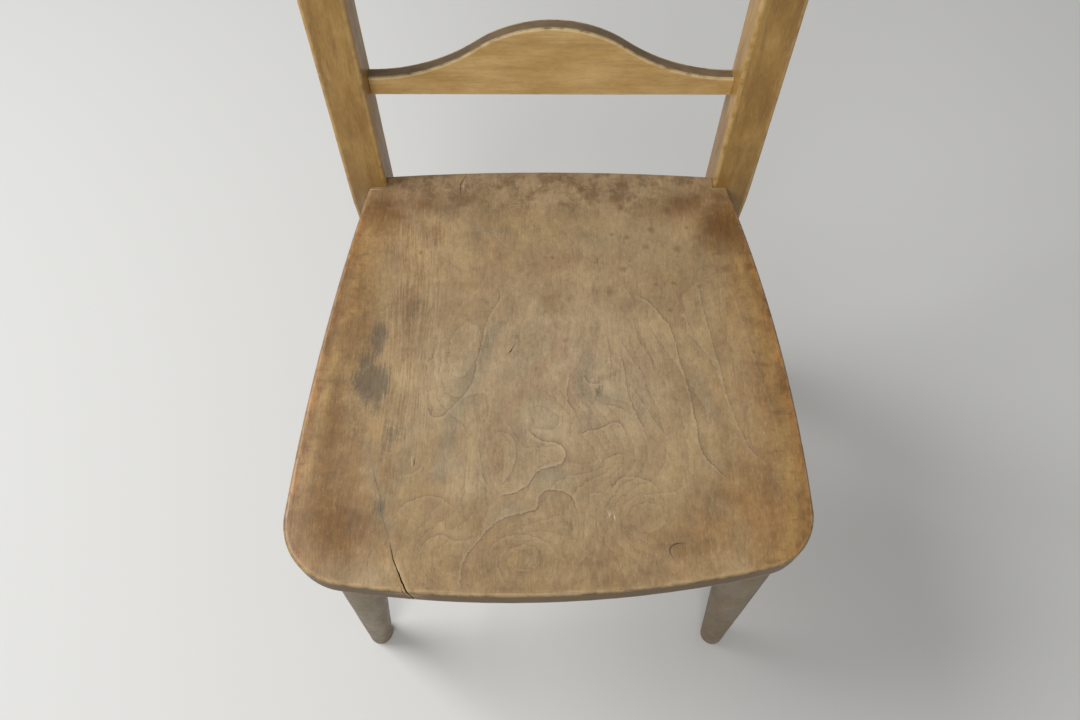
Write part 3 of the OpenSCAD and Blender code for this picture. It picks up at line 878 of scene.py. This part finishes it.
def makeSeat(s):
    piece = copyOfNode("seat", "seatPlank")
    closeSplit(piece, s)

    def rimAt(z, sockets):
        def choose(a, b, angle):
            if abs(a[2] - z) > 0.2 or abs(b[2] - z) > 0.2 or angle < 40:
                return False
            x, y = (a[0] + b[0]) / 2, (a[1] + b[1]) / 2
            if abs(x) > 145 and 158 < y < 185:  # the notches keep their sharp edges
                return False
            return not (sockets and math.hypot(abs(x) - s["socketX"], y - s["socketY"]) < 14)
        return choose

    roundEdges(piece, rimAt(seatTop, False), s["topRound"], 5)
    roundEdges(piece, rimAt(seatUnder, True), s["underRound"], 2)
    cutLoops(piece, 2, seatUnder + s["underRound"], seatTop - s["topRound"], s["wallStep"])
    for wedge in [makeWedge(line, s["splitLean"], 1.5) for line in s["splits"]]:
        cutAway(piece, wedge)
    gridTop(piece, s["grid"])

    co = points(piece)
    flat = co[:, :2]
    x, y = flat.T
    atTop = co[:, 2] > seatTop - 0.5
    inside, fromSide, fromBack, fromFront = rimDistances(co, s)
    layer, slope = growthLayer(s["swirls"], s["layerWidth"], flat)
    for name, values in (
            ("fromSide", fromSide), ("fromBack", fromBack), ("growthLayer", layer), ("growthSlope", slope)):
        paint(piece, name, values)
    for name, lines in (("growth", "growthLines"), ("crack", "cracks"), ("fleck", "paleFlecks")):
        distance, ink = nearestOn(s[lines], flat)
        paint(piece, name + "Distance", distance)
        paint(piece, name + "Ink", ink * atTop)
        if name == "crack":
            crackDepth = ink * np.exp(-(distance / 1.4) ** 2)
    for name, lines, wide in (("redBand", "redBands", 6.5), ("greyBand", "greyBands", 7.0)):
        distance, ink = nearestOn(s[lines], flat)
        paint(piece, name, ink * np.exp(-(distance / wide) ** 2) * atTop)
    for name in ("darkStain", "brownStain", "paleStain", "goldStain"):
        paint(piece, name, patchesAt(s[name], flat))
    for name, gain in (("satOn", 1.25), ("figured", 1.3)):
        paint(piece, name, np.clip(patchesAt(s[name], flat) * gain, 0, 1))
    strip = smoothStep(x, -142, -128) * (1 - smoothStep(x, -102, -84))
    paint(piece, "straightGrain", strip * (1 - smoothStep(np.abs(y - 25), 80, 130)))
    centres = np.array(s["spots"])
    gap = flat[:, None, :] - centres[None, :, :2]
    far = np.sqrt((gap ** 2).sum(2))
    best = far.argmin(1)
    rows = np.arange(len(flat))
    for axis, name in ((0, "spotX"), (1, "spotY")):
        paint(piece, name, gap[rows, best, axis] / centres[best, 2])
    paint(piece, "spotInk", (1 - smoothStep(far[rows, best], 6.0, 9.0)) * atTop)

    # the sat-out hollow and the softened cracks
    hollow = smoothStep(inside, s["dishStart"], s["dishEnd"]) * smoothStep(fromFront, 2, 46)
    co[:, 2] -= atTop * (hollow * s["dishDepth"] + crackDepth * 0.5)
    movePoints(piece, co)
    paintWear(piece, 0)
    return piece


def makeSeatMaterial():
    m, t, shader = newMaterial("bareSeatWood")
    at = millimetres(t)
    turned = stretch(t, at, (1, 1, 1), (math.radians(90), 0, 0))  # fibres run front to back
    fibre = useGroup(t, "fibre", {"Vector": turned, "Streak Width": 14.0, "Waviness": 1.6})
    growth = {"Vector": at, "Layer": painted(t, "growthLayer"), "Slope": painted(t, "growthSlope"), "Width": 0.85}
    layers = useGroup(t, "layers", growth)
    nearAt, otherAt = stretch(t, at, (1, 0.7, 1), move=(31, 17, 0)), stretch(t, at, (1, 0.8, 1), move=(-70, 130, 0))
    wide, near, other = (useGroup(t, "blotch", {"Vector": place, "Size": size, "Cover": 0.5})
                         for place, size in ((at, 62.0), (nearAt, 24.0), (otherAt, 38.0)))
    mottle = cloud(t, at, 0.05, 5.0, 0.62)
    speckle = plus(t, times(t, mottle, 0.62), times(t, cloud(t, at, 0.12, 5.0, 0.7, 0.6), 0.38))
    grit = cloud(t, at, 0.5, 4.0, 0.7)
    uneven = swing(t, cloud(t, at, 0.035, 4.0), 34.0)
    fromSide, fromBack, facing = (painted(t, name) for name in ("fromSide", "fromBack", "facingUp"))
    downFrom = -0.6

    # bare wood: paler and greyer where it is sat on, more golden round that
    outer = blendColour(t, wide["Patches"], (160, 130, 84), (140, 111, 68))
    inner = blendColour(t, wide["Patches"], (168, 147, 117), (154, 131, 99))
    tone = blendColour(t, painted(t, "satOn"), outer, inner)
    tone = layered(t, tone, (
        (near["Patches"], 0.34, (142, 113, 82)),
        (other["Patches"], 0.30, (176, 155, 117)),
        (near["Broken"], 0.16, (130, 106, 80)),
        (painted(t, "paleStain"), 0.75, (176, 157, 124)),
        (painted(t, "redBand"), 0.55, (146, 110, 82)),
        (painted(t, "greyBand"), 0.5, (130, 121, 98)),
    ))

    # old golden finish left along the sides, in a brown edge strip with a paler streak beside it
    fromEdge = plus(t, fromSide, times(t, uneven, 0.35))
    rimMask = flip(t, ramp(t, plus(t, fromSide, times(t, uneven, 0.9)), 8.0, 46.0))
    streakMask = times(t, ramp(t, fromEdge, 8.0, 13.0), flip(t, ramp(t, fromEdge, 14.0, 20.0)))
    bars = ramp(t, cloud(t, stretch(t, at, (0.25, 1, 1)), 0.16, 3.0, 0.6), 0.55, 0.7)
    # then the brown band behind the hollow, and gold and brown stains broken up by speckle
    bandMask = flip(t, ramp(t, plus(t, fromBack, times(t, uneven, 0.6)), 26.0, 52.0))
    gold, brown = painted(t, "goldStain"), painted(t, "brownStain")
    goldMask = times(t, gold, ramp(t, plus(t, speckle, times(t, gold, 0.25)), 0.42, 0.72))
    brownMask = times(t, brown, ramp(t, plus(t, speckle, times(t, brown, 0.2)), 0.4, 0.64))
    # and the grey-black stain, which follows the fibres
    broken = (swing(t, value, amount) for value, amount in ((fibre["Fibres"], 0.3), (speckle, 2.0), (grit, 0.5)))
    soaked = plus(t, painted(t, "darkStain"), *broken)
    tone = layered(t, tone, (
        (rimMask, 0.85, blendColour(t, near["Broken"], (152, 118, 68), (132, 98, 54))),
        (times(t, streakMask, other["Patches"]), 0.75, (176, 142, 84)),
        (flip(t, ramp(t, fromEdge, 5.0, 10.0)), 0.85, blendColour(t, near["Broken"], (158, 112, 56), (120, 82, 40))),
        (times(t, bars, rimMask), 0.5, (104, 74, 40)),
        (bandMask, 0.75, blendColour(t, ramp(t, speckle, 0.4, 0.58), (116, 90, 60), (172, 145, 110))),
        (goldMask, 0.75, blendColour(t, near["Broken"], (146, 109, 62), (124, 90, 48))),
        (brownMask, 0.9, (106, 71, 29)),
        (ramp(t, soaked, 0.25, 0.95), 0.72, (86, 76, 62)),
    ))

    # figure of the wood
    figured = plus(t, 0.25, times(t, painted(t, "figured"), 0.75))
    strip = plus(t, 0.22, times(t, painted(t, "straightGrain"), 0.78))
    fine = times(t, swing(t, fibre["Fibres"], 0.55), strip)
    fineTone = blendColour(t, calc(t, "GREATER_THAN", fine, 0.0), (184, 162, 128), (96, 74, 50))
    nicks = cloud(t, stretch(t, at, (1, 0.22, 1)), 0.62, 3.0, 0.62)
    tone = layered(t, tone, (
        (times(t, layers["Late Wood"], figured), 0.22, (118, 92, 66)),
        (times(t, layers["Early Wood"], figured), 0.15, (188, 166, 128)),
        (times(t, layers["Line"], figured), 0.19, (92, 70, 50)),
        (calc(t, "ABSOLUTE", fine), 1.0, fineTone),
        (ramp(t, grit, 0.52, 0.7), 0.24, (100, 78, 54)),
        (ramp(t, nicks, 0.58, 0.7), 0.3, (96, 74, 50)),
        (ramp(t, nicks, 0.3, 0.42, 1.0, 0.0), 0.2, (192, 170, 136)),
    ))
    flow = stretch(t, at, (1, 0.6, 1))
    sizes = ((0.028, 3.0, 0.55, 0.45), (0.085, 4.0, 0.6, 0.65), (0.3, 4.0, 0.65, 0.6))
    clouds = [times(t, cloud(t, flow, scale, detail, rough), part) for scale, detail, rough, part in sizes]
    shade = plus(t, *clouds, 0.11)
    grey = node(t, "ShaderNodeCombineColor", {0: shade, 1: shade, 2: shade}).outputs[0]
    tone = blendColour(t, 1.0, tone, grey, "MULTIPLY")

    line, fleck, crack = (
        useGroup(t, "line", {"Vector": at, "Distance": painted(t, name + "Distance"), "Ink": painted(t, name + "Ink"),
                             "Width": 1.0, "Wiggle": wiggle})
        for name, wiggle in (("growth", 0.5), ("fleck", 0.15), ("crack", 0.15)))
    spotWay = node(t, "ShaderNodeCombineXYZ", {0: painted(t, "spotX"), 1: painted(t, "spotY"), 2: 0.0}).outputs[0]
    spotFar = vectorCalc(t, "LENGTH", {0: spotWay})["Value"]
    spotFar = plus(t, spotFar, swing(t, cloud(t, at, 0.3, 4.0), 1.9))
    spot = times(t, flip(t, ramp(t, spotFar, 0.1, 1.7)), painted(t, "spotInk"))
    # sides of the plank: painted shade, darker than the top by how far they face up, with some handling dirt; worn pale
    # at the edges
    sideShadeMask = times(t, flip(t, ramp(t, facing, 0.3, 0.85)), calc(t, "GREATER_THAN", facing, downFrom))
    worn = times(t, painted(t, "wornEdge"), ramp(t, cloud(t, at, 0.09, 4.0), 0.34, 0.6))
    # underside: plain sawn wood, gone brown
    under = calc(t, "LESS_THAN", facing, downFrom)
    tone = layered(t, tone, (
        (line["Flank"], 0.3, (120, 96, 70)),
        (line["Light Side"], 0.28, (190, 171, 138)),
        (line["Line"], 0.56, (80, 62, 44)),
        (spot, 0.5, (98, 70, 38)),
        # painted shade, with some handling dirt, on the plank's sides
        (sideShadeMask, 0.92, blendColour(t, mottle, (78, 60, 31), (99, 77, 43))),
        (worn, 0.5, (184, 154, 110)),
        (fleck["Line"], 1.0, (216, 204, 180)),
        # painted shade inside the cracks and dents
        (crack["Line"], 1.0, (40, 30, 20)),
        (under, 1.0, blendColour(t, fibre["Streaks"], (140, 112, 76), (112, 86, 56))),
    ))
    setSocket(t, shader.inputs["Base Color"], tone)
    rough = minus(t, 0.62, times(t, rimMask, 0.2))
    setSocket(t, shader.inputs["Roughness"], plus(t, rough, swing(t, mottle, 0.15)))
    raised = (
        (fibre["Fibres"], 0.2), (mottle, 0.5), (layers["Late Wood"], 0.5), (line["Line"], -0.4), (crack["Line"], -1.5))
    setBump(t, shader, plus(t, *(times(t, value, amount) for value, amount in raised)), 0.35, 0.0005)
    return m


finishPiece(makeSeat(seat), makeSeatMaterial(), "seat")


# Posts, rails, legs and stretchers
# Old thin varnish over straight-grained wood. along: the grain's axis. tones: light, middle, dark, worn.
# grain: how much the edges are worn, the streaks' width in mm, and their waviness.
# the darkening below: (low, high, amount), in mm from the floor; on the posts it is painted shade at and under the
# seat. dustTop: amount on upward faces.
def makeVarnishMaterial(name, along, tones, grain, seed, dustTop=0.0, darkerBelow=None):
    m, t, shader = newMaterial(name)
    wear, streakWidth, waviness = grain
    light, middle, dark, pale = tones
    at = millimetres(t)
    turn = {"x": (0, math.radians(90), 0), "y": (math.radians(90), 0, 0), "z": (0, 0, 0)}[along]
    grainAt = stretch(t, at, (1, 1, 1), turn, (seed * 37, seed * 53, seed * 91))
    fibre = useGroup(t, "fibre", {"Vector": grainAt, "Streak Width": streakWidth, "Waviness": waviness})
    patch = useGroup(t, "blotch", {"Vector": stretch(t, grainAt, (1, 1, 0.3)), "Size": 22.0, "Cover": 0.5})
    secondAt = stretch(t, grainAt, (1, 1, 0.5), move=(50, 20, 10))
    second = useGroup(t, "blotch", {"Vector": secondAt, "Size": 9.0, "Cover": 0.5})
    streak = cloud(t, stretch(t, grainAt, (1, 1, 0.07)), 0.16, 4.0, 0.6)
    dash = cloud(t, stretch(t, grainAt, (1, 1, 0.16)), 0.75, 3.0, 0.65)
    soft = cloud(t, stretch(t, grainAt, (1, 1, 0.45)), 0.045, 4.0, 0.6)
    coats = [
        (ramp(t, streak, 0.46, 0.7), 0.5, dark),
        (ramp(t, dash, 0.5, 0.7), 0.36, dark),
        (ramp(t, dash, 0.28, 0.46, 1.0, 0.0), 0.2, pale),
        (fibre["Fibres"], 0.16, dark),
        (second["Patches"], 0.10, dark),
        (fibre["Pores"], 0.2, (92, 66, 36)),
    ]
    # darker towards the bottom; on the posts this is painted shade at and under the seat
    if darkerBelow:
        low, high, amount = darkerBelow
        height = node(t, "ShaderNodeSeparateXYZ", {0: at}).outputs[2]
        mask = flip(t, ramp(t, plus(t, height, swing(t, cloud(t, at, 0.05, 3.0), 90.0)), low, high))
        coats.append((mask, amount, blendColour(t, second["Patches"], (116, 86, 50), (98, 72, 42))))
    if dustTop:
        mask = ramp(t, painted(t, "facingUp"), 0.5, 0.85)
        coats.append((mask, dustTop, blendColour(t, second["Patches"], (110, 92, 70), (88, 72, 54))))
    worn = times(t, painted(t, "wornEdge"), ramp(t, cloud(t, grainAt, 0.11, 4.0), 0.3, 0.58))
    coats.append((worn, wear, pale))
    setSocket(t, shader.inputs["Base Color"], layered(t, blendColour(t, ramp(t, soft, 0.3, 0.7), light, middle), coats))
    rough = plus(t, 0.36, times(t, patch["Broken"], 0.12), times(t, worn, 0.25))
    setSocket(t, shader.inputs["Roughness"], rough)
    relief = minus(t, times(t, fibre["Fibres"], 0.3), times(t, fibre["Pores"], 0.4))
    setBump(t, shader, plus(t, relief, times(t, second["Patches"], 0.3)), 0.3, 0.0004)
    return m


# the posts' darkening below is painted shade where they meet the seat and under it
post = {
    "frontY": 160.0, "depth": 34.0, "lean": math.radians(7.2), "footBack": 44.0, "footDepth": 28.0,
    "splay": math.tan(math.radians(1.83)), "topRound": 9.0, "round": 2.6, "border": 1.3, "step": 12.0,
    "waver": (0.35, 45), "grain": (0.5, 10.0, 1.0), "darkerBelow": (455, 520, 0.22),
    "tones": [(182, 145, 80), (154, 116, 54), (130, 96, 50), (204, 174, 120)],
}
backDepth = post["depth"] / math.cos(post["lean"])


def postFrontY(z):
    if z >= seatTop:
        return post["frontY"] + (z - seatTop) * math.tan(post["lean"])
    if z >= seatUnder:
        return post["frontY"]
    return post["frontY"] + post["footBack"] * (1 - z / seatUnder)


def postBackY(z):
    if z >= seatUnder:
        return postFrontY(z) + backDepth
    return post["frontY"] + backDepth + (post["footBack"] + post["footDepth"] - backDepth) * (1 - z / seatUnder)


# Draws the post's top again with clean round shoulders: cut off, drawn up, and rounded at both sides.
def reshapeTop(piece, high):
    axis = Vector((0, math.sin(post["lean"]), math.cos(post["lean"])))
    top = Vector((0, (postFrontY(high) + seatMiddleY) / 1000, high / 1000))
    spare = (post["topRound"] + 1.5) / 1000
    cut = top - axis * spare
    outwards = math.copysign(post["splay"], points(piece)[:, 0].mean()) * axis.z * spare

    def onCut(place):
        return abs((place - cut).dot(axis)) < 0.0001

    editAll(piece)
    bpy.ops.mesh.bisect(plane_co=cut, plane_no=axis, clear_outer=True, use_fill=True)
    endEdit()
    editOnly(piece, "VERT", [v.index for v in piece.data.vertices if onCut(v.co)])
    bpy.ops.mesh.remove_doubles(threshold=0.0008)
    endEdit()
    faces = piece.data.polygons
    editOnly(piece, "FACE", [f.index for f in faces if f.normal.dot(axis) > 0.999 and onCut(f.center)])
    bpy.ops.mesh.extrude_region_move(TRANSFORM_OT_translate={"value": (outwards, axis.y * spare, axis.z * spare)})
    endEdit()

    def sideOfTop(a, b, angle):
        level = [abs(Vector((x, y + seatMiddleY, z)).dot(axis) - top.dot(axis) * 1000) for x, y, z in (a, b)]
        return max(level) < 0.1 and abs(a[0] - b[0]) < 1 and math.dist(a, b) > 20

    return roundEdges(piece, sideOfTop, post["topRound"], 8)


def makePost(nodeName, pieceName):
    piece = copyOfNode(nodeName, pieceName)
    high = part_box(nodeName)[1].z * 1000
    print("top sides rounded:", reshapeTop(piece, high))

    def outerEdge(a, b, angle):
        if angle < 30:
            return False
        if abs(a[2] - b[2]) < 0.5 and 1 < a[2] < high - 16:  # the bends at the seat
            return False
        if math.dist(a, b) < 6 and max(a[2], b[2]) < high - 14:  # screw heads and sockets
            return False
        if a[2] < 1 and b[2] < 1:
            return True
        return any(all(abs(y - faceY(z)) < 0.4 for _, y, z in (a, b)) for faceY in (postFrontY, postBackY))

    count = roundEdges(piece, outerEdge, post["round"], 3)
    borderFaces(piece, post["border"])
    cutLoops(piece, 2, 0, high, post["step"])
    waver(piece, *post["waver"])
    paintWear(piece, 0)
    print(pieceName, "rounded", count, "edges")
    return piece


for index, side in enumerate(("left", "right")):
    material = makeVarnishMaterial(
        side + "PostVarnish", "z", post["tones"], post["grain"], 1.0 + index, darkerBelow=post["darkerBelow"])
    finishPiece(makePost(side + "_back_post", side + "BackPost"), material, side + "_back_post")

rail = {
    "round": 1.6, "topRound": 3.0, "border": 1.0, "step": 8.0, "half": 146, "waver": (0.25, 40),
    "grain": (0.5, 7.0, 0.5), "topGrain": (0.75, 9.0, 0.8), "dust": 0.9, "topDust": 0.35,
    "tones": [(216, 182, 122), (192, 154, 92), (168, 133, 80), (230, 206, 158)],
    "topTones": [(172, 136, 74), (156, 118, 60), (124, 90, 44), (198, 166, 112)],
}


def makeRail(nodeName, pieceName, width):
    piece = copyOfNode(nodeName, pieceName)

    def longEdge(a, b, angle):
        x, otherX = a[0], b[0]
        upright = x * otherX > 0 and abs(x - otherX) < 0.6 and math.dist(a, b) > 2 and abs(x) > 140
        inPost = min(abs(x), abs(otherX)) > 149 or upright
        return angle > 40 and not inPost

    roundEdges(piece, longEdge, width, 3)
    borderFaces(piece, rail["border"])
    cutLoops(piece, 0, -rail["half"], rail["half"], rail["step"])
    waver(piece, *rail["waver"])
    paintWear(piece, 0)
    return piece


middleVarnish = makeVarnishMaterial("middleRailVarnish", "x", rail["tones"], rail["grain"], 4.0, rail["dust"])
finishPiece(makeRail("middle_rail", "middleRail", rail["round"]), middleVarnish, "middle_rail")
topVarnish = makeVarnishMaterial("topRailVarnish", "x", rail["topTones"], rail["topGrain"], 5.0, rail["topDust"])
finishPiece(makeRail("top_rail", "topRail", rail["topRound"]), topVarnish, "top_rail")

# the legs' tones are darker than the posts': painted shade from the seat above, put into their colours; the feet are
# also darkened towards the floor
leg = {
    "footRound": 1.8, "step": 12.0, "waver": (0.4, 60), "grain": (0.6, 8.0, 0.8), "darkerBelow": (-20, 70, 0.6),
    "tones": [(112, 93, 57), (98, 79, 46), (74, 58, 34), (146, 122, 84)],
}


def makeLeg(nodeName, pieceName):
    piece = copyOfNode(nodeName, pieceName)
    roundEdges(piece, lambda a, b, angle: a[2] < 0.5 and b[2] < 0.5 and angle > 50, leg["footRound"], 3)
    cutLoops(piece, 2, 0, seatUnder, leg["step"])
    waver(piece, *leg["waver"])
    paintWear(piece)
    return piece


for index, side in enumerate(("left", "right")):
    material = makeVarnishMaterial(
        side + "LegVarnishPaintedShade", "z", leg["tones"], leg["grain"], 7.0 + index, darkerBelow=leg["darkerBelow"])
    finishPiece(makeLeg(side + "_front_leg", side + "FrontLeg"), material, side + "_front_leg")

stretcher = {
    "step": 10.0, "waver": (0.3, 35), "grain": (0.5, 7.0, 0.8), "dust": 0.45,
    "tones": [(158, 126, 78), (140, 108, 62), (114, 86, 48), (184, 156, 110)],
}


def makeStretcher(nodeName, pieceName, axis):
    piece = copyOfNode(nodeName, pieceName)
    low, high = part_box(nodeName)
    cutLoops(piece, axis, low[axis] * 1000, high[axis] * 1000, stretcher["step"])
    waver(piece, *stretcher["waver"])
    paintWear(piece)
    return piece


for place, axis in (("left_side", 1), ("right_side", 1), ("cross", 0)):
    name = place + "_stretcher"
    piece = place.split("_")[0] + "Stretcher"
    material = makeVarnishMaterial(
        piece + "Varnish", "xy"[axis], stretcher["tones"], stretcher["grain"], 11.0 + axis * 3, stretcher["dust"])
    finishPiece(makeStretcher(name, piece, axis), material, name)


# Screws
screw = {"slotWidth": 1.2, "slotDepth": 1.1, "slotLength": 11.0, "sideTurn": 35, "backTurn": -50}


def makeScrews(s):
    piece = copyOfNode("seat_screws", "seatScrews")
    co = points(piece)
    deep, long, thin = s["slotDepth"] * 2, s["slotLength"], s["slotWidth"]
    cutters = []
    for sx in (-1, 1):
        own = co[co[:, 0] * sx > 0]
        outFrom, back = np.abs(own[:, 0]), own[:, 1]
        sideHead = own[outFrom > outFrom.max() - 0.05].mean(0)
        backHead = own[back > back.max() - 0.05].mean(0)
        for middle, size, turn in (
                (sideHead, (deep, long, thin), (s["sideTurn"] * sx, 0, 0)),
                (backHead, (long, deep, thin), (0, s["backTurn"] * sx, 0))):
            place = (middle + [0, seatMiddleY, 0]) / 1000
            bpy.ops.mesh.primitive_cube_add(size=1, location=tuple(place))
            c = bpy.context.object
            c.scale = [v / 1000 for v in size]
            c.rotation_euler = [math.radians(v) for v in turn]
            bpy.ops.object.transform_apply(location=True, rotation=True, scale=True)
            cutters.append(c)
    for c in cutters:
        c.select_set(True)
    bpy.context.view_layer.objects.active = cutters[0]
    bpy.ops.object.join()
    cutAway(piece, bpy.context.object)
    paintWear(piece)
    return piece


def makeScrewMaterial():
    m, t, shader = newMaterial("dulledScrewSteel")
    at = millimetres(t)
    patch = useGroup(t, "blotch", {"Vector": at, "Size": 3.0, "Cover": 0.55})
    rust = patch["Broken"]
    tone = blendColour(t, rust, (120, 112, 102), (92, 62, 40))
    tone = layered(t, tone, ((cloud(t, at, 1.8, 3.0), 0.4, (60, 46, 34)),))
    setSocket(t, shader.inputs["Base Color"], tone)
    setSocket(t, shader.inputs["Metallic"], minus(t, 0.85, times(t, rust, 0.6)))
    setSocket(t, shader.inputs["Roughness"], plus(t, 0.42, times(t, rust, 0.35)))
    setBump(t, shader, patch["Patches"], 0.3, 0.0003)
    return m


finishPiece(makeScrews(screw), makeScrewMaterial(), "seat_screws")


# Floor and light
ground = {"size": 14, "tone": (214, 214, 212), "roughness": 0.9}


def makeFloor(s):
    bpy.ops.object.select_all(action="DESELECT")
    bpy.ops.mesh.primitive_plane_add(size=s["size"], location=(0, 0, 0))
    floor = bpy.context.object
    floor.name = "floor"
    m, _, shader = newMaterial("paleFloor")
    shader.inputs["Base Color"].default_value = colour(*s["tone"])
    shader.inputs["Roughness"].default_value = s["roughness"]
    floor.data.materials.append(m)


makeFloor(ground)

light = {
    "world": 0.30,
    "worldTint": (1.0, 0.99, 0.975, 1.0),
    "lamps": [  # place, aim, size, power
        ((-1.7, 0.3, 2.3), (0, 0, 0.4), 1.5, 54),
        ((-0.5, -2.0, 1.9), (0, 0, 0.5), 1.3, 24),
    ],
}


def makeLight(s):
    world = bpy.data.worlds.new("studio")
    world.use_nodes = True
    background = world.node_tree.nodes["Background"].inputs
    background[0].default_value = s["worldTint"]
    background[1].default_value = s["world"]
    bpy.context.scene.world = world
    for place, aim, size, power in s["lamps"]:
        data = bpy.data.lights.new("softbox", "AREA")
        data.shape = "DISK"
        data.size = size
        data.energy = power
        lamp = bpy.data.objects.new("softbox", data)
        lamp.location = place
        lamp.rotation_euler = (Vector(aim) - Vector(place)).to_track_quat("-Z", "Y").to_euler()
        bpy.context.scene.collection.objects.link(lamp)


makeLight(light)
bpy.context.scene.view_settings.view_transform = "Standard"
print("floor and light made")
